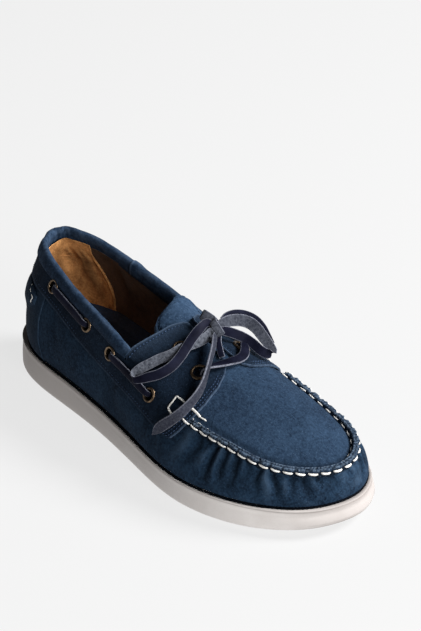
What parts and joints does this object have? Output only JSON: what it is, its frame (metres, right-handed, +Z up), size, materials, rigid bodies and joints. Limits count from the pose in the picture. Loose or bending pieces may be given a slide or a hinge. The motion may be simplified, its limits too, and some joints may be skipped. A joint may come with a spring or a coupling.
{
  "type": "boat shoe",
  "caption": "Low suede boat shoe for the right foot, with a moccasin toe seam, a leather lace tied over a short tongue and a pale rubber sole.",
  "frame": {"origin": "middle of the footprint on the ground: half way along and across the shoe without its bow, at the lowest point of the sole", "axes": "+X to the toe, +Y to the inside of the foot, +Z up"},
  "size_m": [0.3, 0.1103, 0.0888],
  "materials": {
    "suede": "napped navy suede",
    "suede_light": "napped suede, a lighter navy",
    "sole_rubber": "matte off-white",
    "insole_leather": "smooth navy",
    "eyelet_metal": "antique",
    "lace_leather": "oiled navy leather"
  },
  "bodies": {
    "root": {"outsole": "sole_rubber", "insole": "insole_leather", "upper": "suede", "tongue": "suede_light", "saddle_lateral": "suede", "saddle_medial": "suede", "heel_tab": "suede", "collar_roll": "suede_light", "eyelet_lateral_1": "eyelet_metal", "eyelet_lateral_2": "eyelet_metal", "eyelet_lateral_3": "eyelet_metal", "eyelet_lateral_4": "eyelet_metal", "eyelet_lateral_5": "eyelet_metal", "eyelet_lateral_6": "eyelet_metal", "eyelet_medial_1": "eyelet_metal", "eyelet_medial_2": "eyelet_metal", "eyelet_medial_3": "eyelet_metal", "eyelet_medial_4": "eyelet_metal", "eyelet_medial_5": "eyelet_metal", "eyelet_medial_6": "eyelet_metal", "lace_side_lateral_rear": "lace_leather", "lace_side_lateral_front": "lace_leather", "lace_side_medial_rear": "lace_leather", "lace_side_medial_front": "lace_leather", "lace_bar_front": "lace_leather", "lace_knot": "lace_leather", "lace_loop_lateral": "lace_leather", "lace_loop_medial": "lace_leather", "lace_end_long": "lace_leather", "lace_end_short": "lace_leather", "lace_strand_medial": "lace_leather"}
  },
  "joints": []
}
